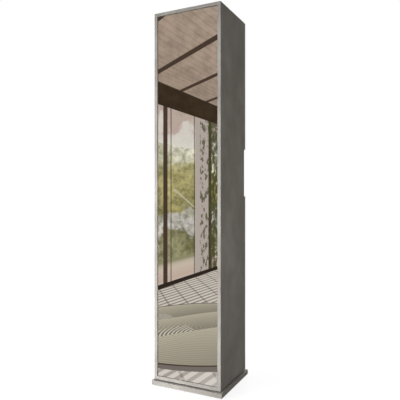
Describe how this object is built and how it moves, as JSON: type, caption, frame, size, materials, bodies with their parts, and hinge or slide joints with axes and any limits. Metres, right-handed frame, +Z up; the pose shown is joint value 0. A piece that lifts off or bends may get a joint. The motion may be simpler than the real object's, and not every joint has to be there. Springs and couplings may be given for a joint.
{
  "type": "revolving wardrobe cabinet",
  "caption": "Tall narrow board cabinet on a ball-bearing turntable over a square base, with a full-height mirror in front and a hinged door with a finger notch behind.",
  "frame": {"origin": "on the floor, on the turning axis, under the middle of the base board", "axes": "+Z up along the turning axis, mirror faces -Y, door on the +Y side with its hinges at the -X edge"},
  "size_m": [0.386, 0.35, 1.88],
  "materials": {
    "cement_laminate": "matt cement-look melamine",
    "cement_edge": "matt cement-look edge band",
    "mirror_silver": "polished",
    "foam_tape": "matt",
    "ring_aluminium": "satin",
    "ball_steel": "polished",
    "cage_nylon": "matt",
    "screw_zinc": "satin zinc",
    "dowel_beech": "plain",
    "cam_zinc": "die-cast zinc",
    "hinge_nickel": "nickel plated",
    "hook_steel": "satin",
    "glide_plastic": "matt",
    "bumper_rubber": "clear soft"
  },
  "bodies": {
    "base": {"base_board": "cement_laminate", "base_edge_bands": "cement_edge", "floor_glides": "glide_plastic", "bearing_inner_ring": "ring_aluminium", "bearing_base_screws": "screw_zinc"},
    "ball_cage": {"ball_cage": "cage_nylon", "bearing_balls": "ball_steel"},
    "outer_links": {"hinge_outer_links": "hinge_nickel"},
    "inner_links": {"hinge_inner_links": "hinge_nickel"},
    "door": {"door_panel": "cement_laminate", "door_edge_band": "cement_edge", "hinge_cups": "hinge_nickel", "hinge_cup_screws": "screw_zinc", "hinge_cup_pins": "screw_zinc"},
    "cabinet": {"bearing_outer_ring": "ring_aluminium", "bearing_cabinet_bolts": "screw_zinc", "bottom_panel": "cement_laminate", "top_panel": "cement_laminate", "lower_fixed_shelf": "cement_laminate", "hat_shelf": "cement_laminate", "side_panel_left": "cement_laminate", "side_panel_right": "cement_laminate", "panel_edge_bands": "cement_edge", "mirror_backing_panel": "cement_laminate", "mirror_glass": "mirror_silver", "mirror_tape": "foam_tape", "adjustable_shelf": "cement_laminate", "shelf_edge_bands": "cement_edge", "shelf_pins": "screw_zinc", "dowels": "dowel_beech", "cam_bolts": "screw_zinc", "cam_discs": "cam_zinc", "coat_hooks": "hook_steel", "hook_screws": "screw_zinc", "hinge_plates": "hinge_nickel", "hinge_arms": "hinge_nickel", "hinge_plate_screws": "screw_zinc", "hinge_arm_screws": "screw_zinc", "hinge_arm_pins": "screw_zinc", "door_bumpers": "bumper_rubber"}
  },
  "joints": [
    {"name": "cabinet_spin", "type": "hinge", "parent": "base", "child": "cabinet", "pos_m": [0, 0, 0.028], "axis": [0, 0, 1], "continuous": true},
    {"name": "cage_spin", "type": "hinge", "parent": "base", "child": "ball_cage", "pos_m": [0, 0, 0.028], "axis": [0, 0, 1], "continuous": true},
    {"name": "outer_link_swing", "type": "hinge", "parent": "cabinet", "child": "outer_links", "pos_m": [-0.15096, 0.12655, 0.955], "axis": [0, 0, 1], "range_deg": [-19.91, 0]},
    {"name": "inner_link_swing", "type": "hinge", "parent": "cabinet", "child": "inner_links", "pos_m": [-0.15364, 0.15436, 0.955], "axis": [0, 0, 1], "range_deg": [-25.32, 0]},
    {"name": "door_swing", "type": "hinge", "parent": "outer_links", "child": "door", "pos_m": [-0.17466, 0.15041, 0.955], "axis": [0, 0, 1], "range_deg": [0, 109.89]}
  ],
  "couplings": [
    {"joint": "cage_spin", "follows": "cabinet_spin", "ratio": 0.5091},
    {"joint": "outer_link_swing", "follows": "door_swing", "ratio": -0.181},
    {"joint": "inner_link_swing", "follows": "door_swing", "ratio": -0.23014}
  ]
}
